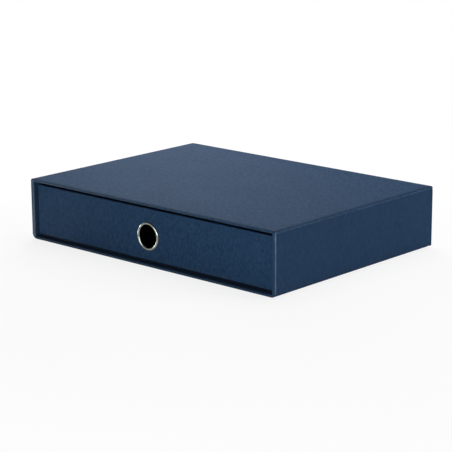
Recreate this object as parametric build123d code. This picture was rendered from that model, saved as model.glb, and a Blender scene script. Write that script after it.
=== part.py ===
import os
from math import cos, pi, sin

from build123d import *

# A document drawer box of greyboard covered in linen-embossed paper, in millimetres.
# The open front faces -Y, the base stands on Z = 0 and the origin is under the middle of the case.

# Overall size of the case
case_width = 335.0
case_depth = 245.0
case_height = 64.0

# Boards
shell_thickness = 2.0
liner_thickness = 2.25
back_thickness = 2.0
top_thickness = 2.0
tray_thickness = 2.0
face_thickness = 2.0

# Papers, each with its glue
cover_paper = 0.25
lining_paper = 0.25
base_paper = 0.2
stay_paper = 0.15

# Edges of the case, measured on the outside of the cover paper
fold_radius = 6.0
inner_fold_radius = 1.5
rim_radius = 0.9
top_side_radius = 2.0
back_edge_radius = 1.2
back_corner_radius = 1.3
joint_edge = 0.3

# Paper that is turned round an edge and glued down
case_turn_in = 15.0
tray_turn_in = 10.0
face_turn_in = 12.0

# Sheet pasted under the case, inside the edges of the floor
base_sheet_margin = 3.0

# Lower edge of the back panel over the underside of the shell, so that the case doesn't stand on it
back_rise = 1.4

# Drawer in its bay
side_clearance = 1.2
slide_clearance = 0.3
rear_clearance = 0.3
tray_top_gap = 4.5
tray_corner_radius = 1.2
tray_fold_radius = 1.5
tray_rim_radius = 0.8
corner_slit = 0.2
stay_leg = 16.0
stay_end_gap = 1.5

# Drawer face
face_recess = 3.5
face_side_gap = 2.75
face_bottom_gap = 3.3
face_top_gap = 3.4
face_edge_radius = 0.8
face_corner_radius = 1.0

# Finger ring
ring_bore_radius = 11.65
ring_sheet = 0.45
ring_bead_radius = 1.37
ring_drop = 1.85
ring_hole_clearance = 0.08
curl_radius = 0.5
washer_thickness = 0.5
washer_width = 3.42

# Planes of the case
half_width = case_width / 2
half_depth = case_depth / 2
front = -half_depth
back_front = half_depth - back_thickness - 2 * cover_paper
back_bottom = base_paper + back_rise
wall_top = case_height - top_thickness - 2 * cover_paper

# Planes of the case boards
shell_half = half_width - cover_paper
shell_bottom = base_paper + cover_paper
shell_inner_half = shell_half - shell_thickness
shell_floor = shell_bottom + shell_thickness
liner_inner_half = shell_inner_half - liner_thickness
board_front = front + cover_paper
board_back = back_front - cover_paper

# Bay that the drawer runs in
bay_skin = max(cover_paper, lining_paper)
bay_half = liner_inner_half - bay_skin
bay_floor = shell_floor + bay_skin
bay_top = min(wall_top, wall_top + cover_paper - lining_paper)
bay_back = min(back_front, back_front + cover_paper - lining_paper)

# Planes of the drawer face
face_total = face_thickness + 2 * cover_paper
face_front = front + face_recess
face_half = bay_half - face_side_gap
face_bottom = bay_floor + face_bottom_gap
face_top = bay_top - face_top_gap

# Planes of the drawer tray
tray_half = bay_half - side_clearance
tray_bottom = bay_floor + slide_clearance
tray_top = bay_top - tray_top_gap
tray_front = face_front + face_total
tray_back = bay_back - rear_clearance
tray_skin = max(cover_paper, lining_paper)
ring_centre = (face_bottom + face_top) / 2 - ring_drop

# A little more than any cut needs
spare = 1.0

# Most of the top panel's thickness that its rounding may take
edge_share = 0.8

# Chamfer on a board's edge, as a share of the inside radius of the paper that goes round it
board_chamfer = 0.7

# Straight strips that a half round of the finger ring is made of
bead_strips = 12
inner_bead_strips = 4
curl_strips = 3


def block(x_range, y_range, z_range):
    """Box between pairs of coordinates."""
    size = [high - low for low, high in (x_range, y_range, z_range)]
    middle = [(high + low) / 2 for low, high in (x_range, y_range, z_range)]
    return Pos(*middle) * Box(*size)


def along_y(outline, near, far):
    """Extrude an outline drawn in X and Z from one Y to another."""
    return extrude(Plane.XZ.offset(-far) * outline, far - near)


def trough_outline(half, bottom, top, radius):
    """Upright rectangle in X and Z whose two lower corners are rounded."""
    outline = Pos(0, (bottom + top) / 2) * Rectangle(2 * half, top - bottom)
    return fillet(outline.vertices().group_by(Axis.Y)[0], radius)


def edges_of(face, keep):
    """Edges of a face whose centre passes a test."""
    return [edge for edge in face.edges() if keep(edge.center())]


def soften(edges, radius, inset):
    """Round the edges of a cover, or chamfer those of the board inside it."""
    if inset == 0:
        return fillet(edges, radius)
    return chamfer(edges, board_chamfer * (radius - inset))


def case_trough(inset, near, far):
    """Solid trough of the case's outer form, smaller by an inset."""
    outline = trough_outline(half_width - inset, base_paper + inset, wall_top, fold_radius - inset)
    return along_y(outline, near, far)


def below_wall_top(centre):
    """True for a rim edge that the cover paper goes round."""
    return centre.Z < wall_top - spare


def case_boards():
    """Shell board and both liners as one body, chamfered where the cover goes round the rim."""
    hollow = block(
        (-liner_inner_half, liner_inner_half),
        (board_front - spare, board_back + spare),
        (shell_floor, wall_top + spare),
    )
    boards = case_trough(cover_paper, board_front, board_back) - hollow
    rim = edges_of(boards.faces().sort_by(Axis.Y)[0], below_wall_top)
    return soften(rim, rim_radius, cover_paper)


def shell_hollow():
    """Space inside the folded shell board."""
    outline = trough_outline(shell_inner_half, shell_floor, wall_top + spare, inner_fold_radius)
    return along_y(outline, front - spare, half_depth + spare)


def shell_board(boards):
    """Floor and both walls, folded from one board."""
    return boards - shell_hollow()


def liner_boards(boards):
    """Left and right boards that double the walls."""
    return (boards & shell_hollow()).solids().sort_by(Axis.X)


def shell_cover_paper(boards):
    """Paper round walls and floor, turned in at the rim and over the back ends of the boards."""
    bay = block(
        (-bay_half, bay_half),
        (front - spare, half_depth),
        (bay_floor, wall_top + spare),
    )
    cover = case_trough(0, front, back_front) - bay
    cover = fillet(edges_of(cover.faces().sort_by(Axis.Y)[0], below_wall_top), rim_radius)

    def outside(centre):
        return below_wall_top(centre) and (abs(centre.X) > bay_half + spare or centre.Z < bay_floor - spare)

    cover = chamfer(edges_of(cover.faces().sort_by(Axis.Y)[-1], outside), joint_edge)
    inside = block(
        (-liner_inner_half, liner_inner_half),
        (front + case_turn_in, half_depth),
        (shell_floor, wall_top + spare),
    )
    return cover - boards - inside


def case_lining():
    """Lining pasted on walls and floor, from the turned-in paper to the back panel."""
    outer = block(
        (-liner_inner_half, liner_inner_half),
        (front + case_turn_in, back_front),
        (shell_floor, wall_top),
    )
    inner = block(
        (lining_paper - liner_inner_half, liner_inner_half - lining_paper),
        (front, half_depth),
        (shell_floor + lining_paper, case_height),
    )
    return outer - inner


def back_form(inset):
    """Back panel over the ends of the shell, with soft corners and edges, smaller by an inset."""
    form = block(
        (inset - half_width, half_width - inset),
        (back_front + inset, half_depth - inset),
        (back_bottom + inset, wall_top - inset),
    )
    form = soften(form.edges().filter_by(Axis.Y), back_corner_radius, inset)
    form = soften(form.faces().sort_by(Axis.Y)[-1].edges(), back_edge_radius, inset)
    if inset == 0:
        form = chamfer(form.faces().sort_by(Axis.Y)[0].edges(), joint_edge)
    return form


def back_window(near):
    """Opening that the turned-in edges of the back paper leave in front of the back board."""
    return block(
        (case_turn_in - half_width, half_width - case_turn_in),
        (near, back_front + cover_paper),
        (back_bottom + case_turn_in, wall_top - case_turn_in),
    )


def back_cover_paper():
    """Paper over the back board, round all its edges and turned in at its front."""
    return back_form(0) - back_form(cover_paper) - back_window(back_front - spare)


def back_lining():
    """Lining pasted inside the turned-in edges of the back paper."""
    return back_window(back_front + cover_paper - lining_paper)


def base_sheet():
    """Sheet pasted under the case, inside the round folds."""
    return block(
        (fold_radius + base_sheet_margin - half_width, half_width - fold_radius - base_sheet_margin),
        (front + base_sheet_margin, half_depth - base_sheet_margin),
        (0, base_paper),
    )


def top_form(inset):
    """Top panel with every edge rounded, smaller by an inset."""
    low = wall_top + inset
    form = block(
        (inset - half_width, half_width - inset),
        (front + inset, half_depth - inset),
        (low, case_height - inset),
    )
    side_radius = min(top_side_radius, edge_share * (case_height - wall_top))
    form = soften(form.faces().sort_by(Axis.Z)[-1].edges().filter_by(Axis.Y), side_radius, inset)
    for end, radius in ((0, rim_radius), (-1, back_edge_radius)):
        upper = edges_of(form.faces().sort_by(Axis.Y)[end], lambda c: c.Z > low + cover_paper / 2)
        form = soften(upper, radius, inset)
    if inset == 0:
        form = chamfer(form.faces().sort_by(Axis.Z)[0].edges(), joint_edge)
    return form


def ceiling_window(low):
    """Opening that the turned-in edges of the top paper leave under the top board."""
    return block(
        (case_turn_in - half_width, half_width - case_turn_in),
        (front + case_turn_in, half_depth - case_turn_in),
        (low, wall_top + cover_paper),
    )


def top_cover_paper():
    """Paper over the top board, round all its edges and turned in underneath."""
    return top_form(0) - top_form(cover_paper) - ceiling_window(wall_top - spare)


def ceiling_lining():
    """Lining pasted inside the turned-in edges of the top paper."""
    return ceiling_window(wall_top + cover_paper - lining_paper)


def tray_form(inset):
    """Outer form of the tray, smaller by an inset, with soft folds and upright corners."""
    form = block(
        (inset - tray_half, tray_half - inset),
        (tray_front + inset, tray_back - inset),
        (tray_bottom + inset, tray_top - inset),
    )
    form = soften(form.edges().filter_by(Axis.Z), tray_corner_radius, inset)
    return soften(form.faces().sort_by(Axis.Z)[0].edges(), min(tray_corner_radius, tray_fold_radius), inset)


def tray_hollow(skin, top):
    """Space inside the tray board, smaller by a skin of paper."""
    wall = cover_paper + tray_thickness + skin
    return block(
        (wall - tray_half, tray_half - wall),
        (tray_front + wall, tray_back - wall),
        (tray_bottom + wall, top),
    )


def hollow_tray(inset, skin):
    """Tray with its rim softened inside and outside."""
    tray = tray_form(inset) - tray_hollow(skin, tray_top + spare)
    return soften(tray.faces().sort_by(Axis.Z)[-1].edges(), tray_rim_radius, inset)


def ring_hole():
    """Round hole for the finger ring through the drawer face and the tray's front wall."""
    radius = ring_bore_radius + ring_sheet + ring_hole_clearance
    reach = face_total + tray_thickness + spare
    return Pos(0, tray_front, ring_centre) * Rot(90, 0, 0) * Cylinder(radius, 2 * reach)


def tray_corner_stays():
    """Four strips of paper tape that hold the corners of the tray board."""
    skin = tray_form(cover_paper) - tray_form(cover_paper + stay_paper)
    reach = stay_leg + cover_paper
    stays = []
    for side in (-1, 1):
        edge = side * tray_half
        x_range = sorted((edge, edge - side * reach))
        for y_range in ((tray_front, tray_front + reach), (tray_back - reach, tray_back)):
            z_range = (
                tray_bottom + tray_fold_radius + stay_end_gap,
                tray_top - tray_rim_radius - stay_end_gap,
            )
            stays.append(skin & block(x_range, y_range, z_range))
    return stays


def tray_board(stays):
    """Floor and four walls, folded from one board whose walls meet at slit corners."""
    tray = hollow_tray(cover_paper, 0)
    inner_half = tray_half - cover_paper - tray_thickness
    floor = tray_bottom + cover_paper + tray_thickness
    for low, high in ((-inner_half - corner_slit, -inner_half), (inner_half, inner_half + corner_slit)):
        tray -= block((low, high), (tray_front, tray_back), (floor, tray_top))
    for stay in stays:
        tray -= stay
    return tray - ring_hole()


def tray_base_window():
    """Underside of the tray inside the turned-under cover paper."""
    return block(
        (tray_turn_in - tray_half, tray_half - tray_turn_in),
        (tray_front + tray_turn_in, tray_back - tray_turn_in),
        (tray_bottom, tray_bottom + cover_paper),
    )


def tray_cover_paper():
    """Paper round the four walls, turned over the rim and turned under the floor."""
    cover = hollow_tray(0, tray_skin)
    board = hollow_tray(cover_paper, 0)
    lined = tray_hollow(0, tray_top - tray_turn_in)
    return cover - board - lined - tray_base_window() - ring_hole()


def tray_wall_lining():
    """Lining strip inside the four walls, up to the turned-in cover paper."""
    return tray_hollow(0, tray_top - tray_turn_in) - tray_hollow(lining_paper, tray_top) \
        - tray_floor_lining() - ring_hole()


def tray_floor_lining():
    """Lining sheet on the floor of the tray, inside the wall lining."""
    floor = tray_bottom + cover_paper + tray_thickness
    return tray_hollow(0, floor + lining_paper) & tray_hollow_footprint()


def tray_hollow_footprint():
    """Upright column over the lined floor of the tray."""
    wall = cover_paper + tray_thickness + lining_paper
    return block(
        (wall - tray_half, tray_half - wall),
        (tray_front + wall, tray_back - wall),
        (tray_bottom, tray_top),
    )


def face_form(inset):
    """Drawer face panel, smaller by an inset, with soft corners and a soft front edge."""
    form = block(
        (inset - face_half, face_half - inset),
        (face_front + inset, tray_front - inset),
        (face_bottom + inset, face_top - inset),
    )
    form = soften(form.edges().filter_by(Axis.Y), face_corner_radius, inset)
    return soften(form.faces().sort_by(Axis.Y)[0].edges(), face_edge_radius, inset)


def face_board():
    """Board of the drawer face."""
    return face_form(cover_paper) - ring_hole()


def face_cover_paper():
    """Paper over the drawer face, turned in behind its board."""
    window = block(
        (face_turn_in - face_half, face_half - face_turn_in),
        (tray_front - cover_paper, tray_front + spare),
        (face_bottom + face_turn_in, face_top - face_turn_in),
    )
    return face_form(0) - face_form(cover_paper) - window - ring_hole()


def washer_back():
    """Y of the washer's rear face."""
    return tray_front + cover_paper + tray_thickness + lining_paper + washer_thickness


def half_round(middle, base, radius, way, strips):
    """Points of a half round from its inner to its outer foot, bulging to the front (-1) or the rear (1)."""
    points = []
    for step in range(strips + 1):
        angle = pi * step / strips
        points.append((middle - radius * cos(angle), base + way * radius * sin(angle)))
    return points


def eyelet_ring():
    """Sheet metal finger ring: a round bead in front, a barrel and a curl rolled over the washer."""
    crest = ring_bore_radius + ring_bead_radius
    curl_middle = ring_bore_radius + ring_sheet + curl_radius
    rear = washer_back()
    bead = half_round(crest, face_front, ring_bead_radius, -1, bead_strips)
    inside_bead = half_round(crest, face_front, ring_bead_radius - ring_sheet, -1, inner_bead_strips)
    inside_curl = half_round(curl_middle, rear, curl_radius, 1, curl_strips)
    curl = half_round(curl_middle, rear, curl_radius + ring_sheet, 1, curl_strips)
    section = bead + inside_bead[::-1] + inside_curl + curl[::-1]
    return Pos(0, 0, ring_centre) * revolve(make_face(Polyline(*section, close=True)), Axis.Y)


def eyelet_washer():
    """Flat washer between the tray's front wall and the curl of the ring."""
    bore = ring_bore_radius + ring_sheet + ring_hole_clearance
    disc = Cylinder(bore + washer_width, washer_thickness) - Cylinder(bore, 2 * washer_thickness)
    return Pos(0, washer_back() - washer_thickness / 2, ring_centre) * Rot(90, 0, 0) * disc


def save(name, *solids):
    """Write one sub-part, as one solid or as a group of equal ones."""
    shape = solids[0] if len(solids) == 1 else Compound(children=list(solids))
    export_step(shape, f"parts/{name}.step")


def main():
    os.makedirs("parts", exist_ok=True)

    boards = case_boards()
    left_liner, right_liner = liner_boards(boards)
    save("shell_board", shell_board(boards))
    save("left_liner_board", left_liner)
    save("right_liner_board", right_liner)
    save("back_board", back_form(cover_paper))
    save("top_board", top_form(cover_paper))
    save("shell_cover_paper", shell_cover_paper(boards))
    save("top_cover_paper", top_cover_paper())
    save("back_cover_paper", back_cover_paper())
    save("base_sheet", base_sheet())
    save("case_lining", case_lining())
    save("back_lining", back_lining())
    save("ceiling_lining", ceiling_lining())

    stays = tray_corner_stays()
    save("tray_board", tray_board(stays))
    save("tray_corner_stays", *stays)
    save("tray_cover_paper", tray_cover_paper())
    save("tray_base_sheet", tray_base_window())
    save("tray_wall_lining", tray_wall_lining())
    save("tray_floor_lining", tray_floor_lining())
    save("face_board", face_board())
    save("face_cover_paper", face_cover_paper())
    save("eyelet_ring", eyelet_ring())
    save("eyelet_washer", eyelet_washer())


main()
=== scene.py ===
import math

import bpy
from mathutils import Matrix, Vector


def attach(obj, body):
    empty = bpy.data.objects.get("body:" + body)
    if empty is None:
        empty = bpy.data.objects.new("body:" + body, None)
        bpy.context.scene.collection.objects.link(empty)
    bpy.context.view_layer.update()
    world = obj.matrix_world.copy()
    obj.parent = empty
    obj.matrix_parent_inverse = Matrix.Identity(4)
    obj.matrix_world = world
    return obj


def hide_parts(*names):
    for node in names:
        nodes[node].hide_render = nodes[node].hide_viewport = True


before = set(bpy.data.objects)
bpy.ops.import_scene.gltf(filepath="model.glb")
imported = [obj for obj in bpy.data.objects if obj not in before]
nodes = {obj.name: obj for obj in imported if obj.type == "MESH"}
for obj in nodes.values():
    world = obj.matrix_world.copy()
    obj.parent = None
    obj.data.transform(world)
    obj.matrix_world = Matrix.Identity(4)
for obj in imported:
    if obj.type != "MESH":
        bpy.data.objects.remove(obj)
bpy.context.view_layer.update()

# Places in metres, in the CAD frame: the front of the box is -Y and its base stands on Z = 0
MM = 0.001
HALF_WIDTH = 167.5 * MM
HALF_DEPTH = 122.5 * MM
WALL_TOP = 61.5 * MM
TOP_ROLL = 63.4 * MM
FACE_FRONT = -119.0 * MM

# Where the cover paper is painted pale, partly as wear and partly as painted highlight on rounded
# edges: centre in mm, reach in mm, how heights count, share of the pale mark
WEAR_AND_HIGHLIGHT_EDGES = [
    ((-163.8, -122.4, 0), 1.1, 0.0, 0.6),
    ((-159.5, -118.9, 0), 1.3, 0.0, 0.3),
    ((162.5, -122.4, 0), 0.9, 0.0, 0.14),
    ((167.4, -122.4, 0), 1.25, 0.0, 1.0),
    ((166.4, -122.4, 57.5), 1.6, 0.3, 0.5),
    ((167.4, 122.4, 0), 2.6, 0.0, 0.15),
    ((-163.5, -122.4, 5.0), 2.0, 1.0, 0.4),
]

# Painted shade where the top's paper rolls over the board: from this far in from the edge it is as
# dark as the share says, and it fades out further in
RIGHT_ROLL_SHADE = (1.0 * MM, 6.5 * MM, 0.52)
FRONT_ROLL_SHADE = (1.0 * MM, 5.5 * MM, 0.38)

# Where the front rim is painted paler grey: how far in it fades out, and its share at the left and
# right ends
RIM_FADE = (0.3 * MM, 1.0 * MM)
RIM_SHARES = (0.85, 0.1)

# The top panel's right edge is painted paler over this width, by this share: a painted highlight
# where its rounding faces the light
PANEL_EDGE = 1.3 * MM
PANEL_HIGHLIGHT = 0.2

# Finger ring: height of its centre, radius of its bore, thickness of its sheet, radii of the bead
# in front and the curl behind, and the place of the curl
RING_HEIGHT = 30.2 * MM
RING_BORE = 11.65 * MM
RING_SHEET = 0.45 * MM
RING_BEAD = 1.37 * MM
RING_CURL = 0.95 * MM
RING_REAR = -113.5 * MM
BEAD_POINTS = 32
CURL_STEPS = 10
RING_STEPS = 120
SMOOTH_BELOW = 40
HAIR = 0.01 * MM

# Studio: near the object the floor is seen as this share of plain white, and far off as all of it
FLOOR_SIZE = 14.0
FLOOR_DROP = 0.2 * MM
FLOOR_NEAR = 0.22
FLOOR_FAR = 1.0
FLOOR_SHARE = 0.84

# The light that the surroundings give, and how white they look at the horizon and overhead
WORLD_LEVEL = 0.03
HORIZON = 0.1
OVERHEAD = 0.6
OVERHEAD_WHITE = 0.12

# Softboxes: name, place, target, width and height in metres, power in watts
SOFTBOXES = [
    ("overhead_softbox", (-0.1, 0.35, 1.4), (0, 0.1, 0), 1.2, 1.0, 13.3),
    ("far_left_softbox", (-0.75, 0.6, 0.7), (-0.05, 0.05, 0.06), 0.7, 0.6, 3.5),
    ("far_left_near_lamp", (-0.5, 0.42, 0.38), (-0.1, 0.08, 0.06), 0.3, 0.3, 2.0),
    ("back_right_softbox", (1.2, 0.7, 0.6), (0.16, 0.05, 0.03), 0.7, 0.7, 8.2),
    ("front_right_low_lamp", (0.55, -1.1, 0.2), (0.1, -0.12, 0.03), 0.3, 0.3, 5.4),
    ("front_left_softbox", (-0.3, -1.2, 0.25), (0, -0.12, 0.03), 0.5, 0.3, 0.6),
]

# Cards that only metal and gloss show, for the glints on the finger ring
GLINT_CARDS = [
    ("front_glint_card", (0.12, -1.2, 0.36), (0, -0.12, 0.03), 0.8, 0.4, 7.0),
    ("left_glint_card", (-0.45, -0.17, 0.045), (0, -0.12, 0.03), 0.14, 0.085, 0.6),
    ("table_glint_card", (-0.22, -0.16, 0.002), (-0.22, -0.16, 1), 0.2, 0.07, 0.4),
]

# The photo's camera, from a fit to the edges of the box: metres, degrees and millimetres
CAMERA_PLACE = (1.1531, -1.2733, 0.4575)
CAMERA_AZIMUTH = 42.29
CAMERA_DROP = 14.36
CAMERA_ROLL = -0.29
CAMERA_LENS = 136.9
CAMERA_SENSOR = 36.0


def linear(code):
    """A written sRGB colour as the linear one that Blender works in."""
    levels = [int(code[i:i + 2], 16) / 255 for i in (1, 3, 5)]
    return [v / 12.92 if v <= 0.04045 else ((v + 0.055) / 1.055) ** 2.4 for v in levels] + [1.0]


def add(tree, kind, inputs=None, **settings):
    """Add a node with its settings, and give each named input a value or a link."""
    node = tree.nodes.new(kind)
    for name, value in settings.items():
        setattr(node, name, value)
    for name, value in (inputs or {}).items():
        if isinstance(value, bpy.types.NodeSocket):
            tree.links.new(value, node.inputs[name])
        else:
            node.inputs[name].default_value = value
    return node


def start_material(name):
    """An empty node material, its Principled shader and its object coordinates."""
    material = bpy.data.materials.new(name)
    material.use_nodes = True
    tree = material.node_tree
    tree.nodes.clear()
    shader = add(tree, "ShaderNodeBsdfPrincipled")
    add(tree, "ShaderNodeOutputMaterial", {"Surface": shader.outputs[0]})
    place = add(tree, "ShaderNodeTexCoord").outputs["Object"]
    return material, tree, shader, place


def finish_sheet(tree, shader, colour, relief, strength, depth, roughness, gloss):
    """Give paper or board its colour, its relief of a depth in mm, its roughness and its gloss."""
    bump = add(tree, "ShaderNodeBump",
               {"Height": relief, "Strength": strength, "Distance": depth * MM})
    tree.links.new(colour, shader.inputs["Base Color"])
    tree.links.new(bump.outputs[0], shader.inputs["Normal"])
    shader.inputs["Roughness"].default_value = roughness
    shader.inputs["Specular IOR Level"].default_value = gloss


def grain(tree, place, pitch, seed, detail=1.0):
    """Irregular grain, each grain as long in X, Y and Z as the three pitches in mm."""
    stretched = add(tree, "ShaderNodeMapping",
                    {"Vector": place, "Location": (seed, seed, seed),
                     "Scale": [1 / (size * MM) for size in pitch]})
    noise = add(tree, "ShaderNodeTexNoise",
                {"Vector": stretched.outputs[0], "Scale": 1.0, "Detail": detail})
    return noise.outputs["Fac"]


def linen_threads(tree, place):
    """Height of the embossed linen: upright threads, threads across them, and the cloth's slubs.

    The real threads stand about 0.5 mm apart. That is too fine to see at this picture's scale, so
    they are drawn 1.1 mm apart and the slubs 3 mm apart.
    """
    upright = grain(tree, place, pitch=(1.1, 1.1, 5), seed=3.0)
    across = grain(tree, place, pitch=(5, 5, 1.1), seed=5.0)
    slubs = grain(tree, place, pitch=(2.6, 3.2, 4), seed=7.0)
    height = 0.0
    for layer, share in ((upright, 0.35), (across, 0.2), (slubs, 0.45)):
        height = add(tree, "ShaderNodeMath", {0: layer, 1: share, 2: height},
                     operation="MULTIPLY_ADD").outputs[0]
    return height


def pale_edge_mark(tree, place, centre, reach, upright):
    """Share of a pale edge mark round a point, in mm: 1 at the point, 0 at its reach.

    Heights count by the factor upright, so that 0 marks the whole of an upright edge.
    """
    offset = add(tree, "ShaderNodeVectorMath",
                 {0: place, 1: [size * MM for size in centre]}, operation="SUBTRACT")
    weighed = add(tree, "ShaderNodeVectorMath",
                  {0: offset.outputs[0], 1: (1, 1, upright)}, operation="MULTIPLY")
    away = add(tree, "ShaderNodeVectorMath", {0: weighed.outputs[0]}, operation="LENGTH")
    pale_mark = add(tree, "ShaderNodeMapRange",
              {"Value": away.outputs["Value"], "From Min": 0.0, "From Max": reach * MM,
               "To Min": 1.0, "To Max": 0.0}, interpolation_type="SMOOTHSTEP")
    return pale_mark.outputs[0]


def roll_shade_share(tree, axes):
    """How dark the top's paper is painted where it rolls over the board, at the right and in front:
    painted shade.
    """
    edge, end, most = RIGHT_ROLL_SHADE
    right = add(tree, "ShaderNodeMapRange",
                {"Value": axes["X"], "From Min": HALF_WIDTH - end, "From Max": HALF_WIDTH - edge,
                 "To Min": 0.0, "To Max": most}, interpolation_type="SMOOTHSTEP")
    edge, end, most = FRONT_ROLL_SHADE
    front = add(tree, "ShaderNodeMapRange",
                {"Value": axes["Y"], "From Min": edge - HALF_DEPTH, "From Max": end - HALF_DEPTH,
                 "To Min": most, "To Max": 0.0}, interpolation_type="SMOOTHSTEP")
    roll_shade = add(tree, "ShaderNodeMath",
                 {0: right.outputs[0], 1: front.outputs[0]}, operation="MAXIMUM")
    on_top = add(tree, "ShaderNodeMath", {0: axes["Z"], 1: TOP_ROLL}, operation="GREATER_THAN")
    return add(tree, "ShaderNodeMath",
               {0: roll_shade.outputs[0], 1: on_top.outputs[0]}, operation="MULTIPLY").outputs[0]


def rim_grey_share(tree, axes):
    """How much paler grey the front rim is painted: most at the left, little at the right."""
    rim = add(tree, "ShaderNodeMapRange",
              {"Value": axes["Y"],
               "From Min": RIM_FADE[0] - HALF_DEPTH, "From Max": RIM_FADE[1] - HALF_DEPTH,
               "To Min": 1.0, "To Max": 0.0})
    along = add(tree, "ShaderNodeMapRange",
                {"Value": axes["X"], "From Min": -HALF_WIDTH, "From Max": HALF_WIDTH,
                 "To Min": RIM_SHARES[0], "To Max": RIM_SHARES[1]})
    return add(tree, "ShaderNodeMath",
               {0: rim.outputs[0], 1: along.outputs[0]}, operation="MULTIPLY").outputs[0]


def wear_and_highlight_share(tree, place, axes):
    """How pale the paper is painted, in patches: along its edges partly as wear and partly as
    painted highlight, and along the panel's right edge as painted highlight.
    """
    wear_and_highlight = 0.0
    for centre, reach, upright, share in WEAR_AND_HIGHLIGHT_EDGES:
        pale_mark = pale_edge_mark(tree, place, centre, reach, upright)
        wear_and_highlight = add(tree, "ShaderNodeMath", {0: pale_mark, 1: share, 2: wear_and_highlight},
                   operation="MULTIPLY_ADD").outputs[0]
    # Painted highlight along the top panel's right edge, where its rounding faces the light
    panel_edge = add(tree, "ShaderNodeMapRange",
                     {"Value": axes["X"],
                      "From Min": HALF_WIDTH - PANEL_EDGE, "From Max": HALF_WIDTH,
                      "To Min": 0.0, "To Max": PANEL_HIGHLIGHT})
    on_panel = add(tree, "ShaderNodeMath", {0: axes["Z"], 1: WALL_TOP}, operation="GREATER_THAN")
    wear_and_highlight = add(tree, "ShaderNodeMath",
               {0: panel_edge.outputs[0], 1: on_panel.outputs[0], 2: wear_and_highlight},
               operation="MULTIPLY_ADD")
    patches = add(tree, "ShaderNodeMapRange",
                  {"Value": grain(tree, place, pitch=(2.5, 2.5, 8), seed=17.0, detail=2.0),
                   "From Min": 0.3, "From Max": 0.6, "To Min": 0.55, "To Max": 1.0})
    return add(tree, "ShaderNodeMath",
               {0: wear_and_highlight.outputs[0], 1: patches.outputs[0]}, operation="MULTIPLY").outputs[0]


def linen_embossed_paper(name, dark, pale, gloss):
    """Navy cover paper, embossed with a linen grain by rollers and sealed matt.

    It gives the eye a calm blue between a dark and a pale one, with faint upright thread lines and
    hardly any gloss. The top is painted darker where it rolls over the board, as painted shade, the
    front rim is painted paler grey, and the edges are painted pale, partly as wear and partly as
    painted highlight.
    """
    material, tree, shader, place = start_material(name)
    axes = add(tree, "ShaderNodeSeparateXYZ", {0: place}).outputs
    threads = linen_threads(tree, place)
    cloud = grain(tree, place, pitch=(40, 40, 30), seed=11.0, detail=4.0)
    tone = add(tree, "ShaderNodeMath", {0: cloud, 1: 0.1, 2: threads}, operation="MULTIPLY_ADD")
    tone = add(tree, "ShaderNodeMapRange",
               {"Value": tone.outputs[0], "From Min": 0.3, "From Max": 0.8})
    colour = add(tree, "ShaderNodeMix",
                 {0: tone.outputs[0], 6: linear(dark), 7: linear(pale)},
                 data_type="RGBA").outputs[2]
    # Painted shade on the top's rolled edges, paler grey on the front rim, and pale edges that are
    # partly wear and partly painted highlight
    for share, tint in ((roll_shade_share(tree, axes), "#0B1C36"),
                        (rim_grey_share(tree, axes), "#3A4A5C"),
                        (wear_and_highlight_share(tree, place, axes), "#617A98")):
        colour = add(tree, "ShaderNodeMix", {0: share, 6: colour, 7: linear(tint)},
                     data_type="RGBA").outputs[2]
    finish_sheet(tree, shader, colour, threads, strength=0.5, depth=0.03,
                 roughness=0.75, gloss=gloss)
    return material


def shade_dark_drawer_paper(name):
    """Blue-black paper round the body of the drawer, calendered; its near black is painted shade.

    It gives the eye a near black that stands in for the shade in the gap round the drawer face.
    """
    material, tree, shader, place = start_material(name)
    threads = linen_threads(tree, place)
    colour = add(tree, "ShaderNodeMix",
                 {0: threads, 6: linear("#060A13"), 7: linear("#131B28")},
                 data_type="RGBA").outputs[2]
    finish_sheet(tree, shader, colour, threads, strength=0.5, depth=0.03,
                 roughness=0.7, gloss=0.05)
    return material


def dyed_lining(name):
    """Charcoal lining paper, dyed through and left uncoated.

    It gives the eye a soft black with no shine and a slight fibre cloud.
    """
    material, tree, shader, place = start_material(name)
    fibres = grain(tree, place, pitch=(1.2, 1.2, 1.2), seed=0.0, detail=4.0)
    colour = add(tree, "ShaderNodeMix",
                 {0: fibres, 6: linear("#101215"), 7: linear("#292C30")},
                 data_type="RGBA").outputs[2]
    finish_sheet(tree, shader, colour, fibres, strength=0.5, depth=0.02,
                 roughness=0.85, gloss=0.1)
    return material


def pressed_greyboard(name):
    """Greyboard, pressed from mixed waste paper.

    It gives the eye a flat warm grey, flecked with darker and paler fibre.
    """
    material, tree, shader, place = start_material(name)
    layers = grain(tree, place, pitch=(2.5, 2.5, 0.4), seed=0.0, detail=5.0)
    flecks = grain(tree, place, pitch=(0.9, 0.9, 0.9), seed=7.0, detail=2.0)
    tone = add(tree, "ShaderNodeMix", {0: 0.3, 2: layers, 3: flecks}, data_type="FLOAT").outputs[0]
    colour = add(tree, "ShaderNodeMix",
                 {0: tone, 6: linear("#4E4840"), 7: linear("#B4ADA2")},
                 data_type="RGBA").outputs[2]
    finish_sheet(tree, shader, colour, tone, strength=0.6, depth=0.05,
                 roughness=0.9, gloss=0.1)
    return material


def gummed_kraft_tape(name):
    """Gummed kraft tape, calendered smooth.

    It gives the eye a tan paper with fine ribs across it.
    """
    material, tree, shader, place = start_material(name)
    ribs = grain(tree, place, pitch=(8, 8, 0.7), seed=0.0, detail=2.0)
    colour = add(tree, "ShaderNodeMix",
                 {0: ribs, 6: linear("#7A5A38"), 7: linear("#BC9E75")},
                 data_type="RGBA").outputs[2]
    finish_sheet(tree, shader, colour, ribs, strength=0.4, depth=0.02,
                 roughness=0.6, gloss=0.3)
    return material


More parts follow.
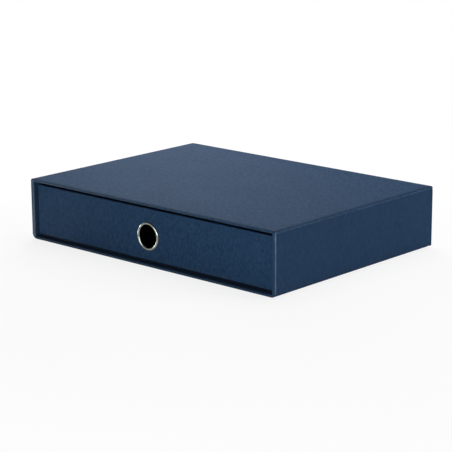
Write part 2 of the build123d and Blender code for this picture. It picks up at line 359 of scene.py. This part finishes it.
def drawn_nickel_plate(name):
    """Nickel plate over a drawn steel ring, its colour darkened as a painted dark reflection.

    It gives the eye a mid grey, slightly green metal with bright glints and fine drawing lines.
    """
    material, tree, shader, place = start_material(name)
    lines = grain(tree, place, pitch=(0.7, 0.2, 0.7), seed=0.0, detail=2.0)
    tarnish = grain(tree, place, pitch=(7, 7, 7), seed=9.0, detail=2.0)
    tone = add(tree, "ShaderNodeMix", {0: 0.6, 2: lines, 3: tarnish}, data_type="FLOAT").outputs[0]
    # Dark base colours: a painted dark reflection in place of darker surroundings
    colour = add(tree, "ShaderNodeMix",
                 {0: tone, 6: linear("#595E58"), 7: linear("#A3A89D")},
                 data_type="RGBA").outputs[2]
    rough = add(tree, "ShaderNodeMapRange",
                {"Value": lines, "From Min": 0.3, "From Max": 0.7, "To Min": 0.1, "To Max": 0.18})
    tree.links.new(colour, shader.inputs["Base Color"])
    tree.links.new(rough.outputs[0], shader.inputs["Roughness"])
    shader.inputs["Metallic"].default_value = 1.0
    return material


def paint(material, *names):
    """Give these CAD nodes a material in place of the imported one."""
    for name in names:
        slots = nodes[name].material_slots
        if not slots:
            nodes[name].data.materials.append(material)
        for slot in slots:
            slot.material = material


def edit_only(obj):
    """Select one object alone, open its mesh for editing and deselect all of it."""
    bpy.ops.object.select_all(action="DESELECT")
    obj.select_set(True)
    bpy.context.view_layer.objects.active = obj
    bpy.ops.object.mode_set(mode="EDIT")
    bpy.ops.mesh.select_mode(type="VERT")
    bpy.ops.mesh.select_all(action="DESELECT")


def select_points(obj, wanted):
    """In edit mode, select the points whose place passes a test."""
    bpy.ops.object.mode_set(mode="OBJECT")
    for point in obj.data.vertices:
        point.select = wanted(obj.matrix_world @ point.co)
    bpy.ops.object.mode_set(mode="EDIT")


def finger_ring(material):
    """The finger ring: a bead over the drawer face, a barrel through the wall and a curl behind.

    Half a circle is the section of the bead. Its inner end is drawn back along the barrel and
    curled outwards, the whole section is spun round the bore, and the skin gets the sheet's
    thickness inwards.
    """
    bpy.ops.object.select_all(action="DESELECT")
    bpy.ops.mesh.primitive_circle_add(vertices=BEAD_POINTS, radius=RING_BEAD,
                                      location=(RING_BORE + RING_BEAD, FACE_FRONT, RING_HEIGHT))
    ring = bpy.context.object
    ring.name = "finger_ring"
    bpy.ops.object.transform_apply(location=True, rotation=True, scale=True)
    edit_only(ring)
    select_points(ring, lambda point: point.y > FACE_FRONT + HAIR)
    bpy.ops.mesh.delete(type="VERT")
    select_points(ring, lambda point: point.x < RING_BORE + HAIR)
    bpy.ops.mesh.extrude_region_move(
        TRANSFORM_OT_translate={"value": (0, RING_REAR - FACE_FRONT, 0)})
    bpy.ops.mesh.spin(steps=CURL_STEPS, angle=math.radians(180),
                      center=(RING_BORE + RING_CURL, RING_REAR, RING_HEIGHT), axis=(0, 0, 1))
    bpy.ops.mesh.select_all(action="SELECT")
    bpy.ops.mesh.spin(steps=RING_STEPS, angle=math.radians(360),
                      center=(0, 0, RING_HEIGHT), axis=(0, 1, 0))
    bpy.ops.mesh.select_all(action="SELECT")
    bpy.ops.mesh.remove_doubles(threshold=HAIR)
    bpy.ops.mesh.normals_make_consistent(inside=False)
    bpy.ops.object.mode_set(mode="OBJECT")
    wall = ring.modifiers.new("sheet", "SOLIDIFY")
    wall.thickness = RING_SHEET
    wall.offset = -1.0
    bpy.ops.object.modifier_apply(modifier=wall.name)
    bpy.ops.object.shade_smooth_by_angle(angle=math.radians(SMOOTH_BELOW))
    ring.data.materials.append(material)
    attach(ring, "drawer")
    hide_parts("eyelet_ring")


def seen_share(tree):
    """1 for rays that see the studio, direct or in gloss or glass, and 0 for those that light."""
    path = add(tree, "ShaderNodeLightPath").outputs
    seen = path["Is Camera Ray"]
    for kind in ("Is Glossy Ray", "Is Transmission Ray"):
        seen = add(tree, "ShaderNodeMath", {0: seen, 1: path[kind]}, operation="MAXIMUM").outputs[0]
    return seen


def white_floor():
    """A floor of white card that keeps the object's shadow near it and is plain white far off."""
    bpy.ops.object.select_all(action="DESELECT")
    bpy.ops.mesh.primitive_plane_add(size=FLOOR_SIZE, location=(0, 0, -FLOOR_DROP))
    floor = bpy.context.object
    floor.name = "studio_floor"
    material = bpy.data.materials.new("white_studio_card")
    material.use_nodes = True
    tree = material.node_tree
    tree.nodes.clear()
    place = add(tree, "ShaderNodeTexCoord").outputs["Object"]
    away = add(tree, "ShaderNodeVectorMath", {0: place}, operation="LENGTH")
    white = add(tree, "ShaderNodeMapRange",
                {"Value": away.outputs["Value"], "From Min": FLOOR_NEAR, "From Max": FLOOR_FAR,
                 "To Min": FLOOR_SHARE, "To Max": 1.0}, interpolation_type="SMOOTHSTEP")
    share = add(tree, "ShaderNodeMath",
                {0: seen_share(tree), 1: white.outputs[0]}, operation="MULTIPLY")
    card = add(tree, "ShaderNodeBsdfDiffuse", {"Color": linear("#F0F0F0")})
    glow = add(tree, "ShaderNodeEmission", {"Color": (1, 1, 1, 1), "Strength": 1.0})
    mix = add(tree, "ShaderNodeMixShader",
              {0: share.outputs[0], 1: card.outputs[0], 2: glow.outputs[0]})
    add(tree, "ShaderNodeOutputMaterial", {"Surface": mix.outputs[0]})
    floor.data.materials.append(material)


def white_world():
    """Surroundings that look white at the horizon and dimmer overhead, and give a faint light."""
    world = bpy.data.worlds.new("white_studio")
    bpy.context.scene.world = world
    world.use_nodes = True
    tree = world.node_tree
    tree.nodes.clear()
    share = add(tree, "ShaderNodeMapRange",
                {"Value": seen_share(tree), "To Min": WORLD_LEVEL, "To Max": 1.0})
    way = add(tree, "ShaderNodeTexCoord").outputs["Generated"]
    way = add(tree, "ShaderNodeSeparateXYZ", {0: way})
    sky = add(tree, "ShaderNodeMapRange",
              {"Value": way.outputs["Z"], "From Min": HORIZON, "From Max": OVERHEAD,
               "To Min": 1.0, "To Max": OVERHEAD_WHITE})
    strength = add(tree, "ShaderNodeMath",
                   {0: share.outputs[0], 1: sky.outputs[0]}, operation="MULTIPLY")
    glow = add(tree, "ShaderNodeBackground",
               {"Color": (1, 1, 1, 1), "Strength": strength.outputs[0]})
    add(tree, "ShaderNodeOutputWorld", {"Surface": glow.outputs[0]})


def softbox(name, place, target, width, height, power):
    """An area lamp at a place, turned to a target, both in metres."""
    lamp = bpy.data.lights.new(name, "AREA")
    lamp.shape = "RECTANGLE"
    lamp.size = width
    lamp.size_y = height
    lamp.energy = power
    holder = bpy.data.objects.new(name, lamp)
    bpy.context.scene.collection.objects.link(holder)
    holder.visible_camera = False
    holder.location = place
    holder.rotation_euler = (Vector(target) - Vector(place)).to_track_quat("-Z", "Y").to_euler()
    return holder


def photo_camera():
    """The camera of the photo, aimed by its azimuth, its drop below level and its roll."""
    azimuth = math.radians(CAMERA_AZIMUTH)
    drop = math.radians(CAMERA_DROP)
    ahead = Vector((-math.sin(azimuth) * math.cos(drop),
                    math.cos(azimuth) * math.cos(drop),
                    -math.sin(drop)))
    level = ahead.cross(Vector((0, 0, 1))).normalized()
    right = Matrix.Rotation(-math.radians(CAMERA_ROLL), 3, ahead) @ level
    up = right.cross(ahead)
    data = bpy.data.cameras.new("photo_camera")
    data.sensor_width = CAMERA_SENSOR
    data.lens = CAMERA_LENS
    data.clip_start = 0.05
    data.clip_end = 50.0
    camera = bpy.data.objects.new("photo_camera", data)
    bpy.context.scene.collection.objects.link(camera)
    turn = Matrix((right, up, -ahead)).transposed()
    camera.matrix_world = Matrix.Translation(CAMERA_PLACE) @ turn.to_4x4()
    bpy.context.scene.camera = camera


# The case, its top and the drawer face share one navy paper in three tuned copies; the top's wider
# spread from dark to pale is painted shading of its grain under grazing light
paint(linen_embossed_paper("linen_embossed_case_paper", "#223853", "#2D4562", 0.035),
      "shell_cover_paper", "back_cover_paper")
paint(linen_embossed_paper("linen_embossed_top_paper", "#0F2540", "#35516F", 0.035),
      "top_cover_paper")
paint(linen_embossed_paper("linen_embossed_face_paper", "#1B324D", "#304B69", 0.01),
      "face_cover_paper")
# The drawer's body paper is near black, as painted shade for the gap round the drawer face
paint(shade_dark_drawer_paper("shade_dark_drawer_paper"), "tray_cover_paper")
paint(dyed_lining("dyed_lining_paper"), "case_lining", "back_lining", "ceiling_lining",
      "tray_wall_lining", "tray_floor_lining", "tray_base_sheet", "base_sheet")
paint(pressed_greyboard("pressed_greyboard"), "shell_board", "left_liner_board",
      "right_liner_board", "back_board", "top_board", "tray_board", "face_board")
paint(gummed_kraft_tape("gummed_kraft_tape"), "tray_corner_stays")
nickel = drawn_nickel_plate("drawn_nickel_plate")
paint(nickel, "eyelet_ring", "eyelet_washer")
finger_ring(nickel)

bpy.context.scene.view_settings.view_transform = "Standard"
white_floor()
white_world()
for lamp_facts in SOFTBOXES:
    softbox(*lamp_facts)
for card_facts in GLINT_CARDS:
    softbox(*card_facts).visible_diffuse = False
photo_camera()
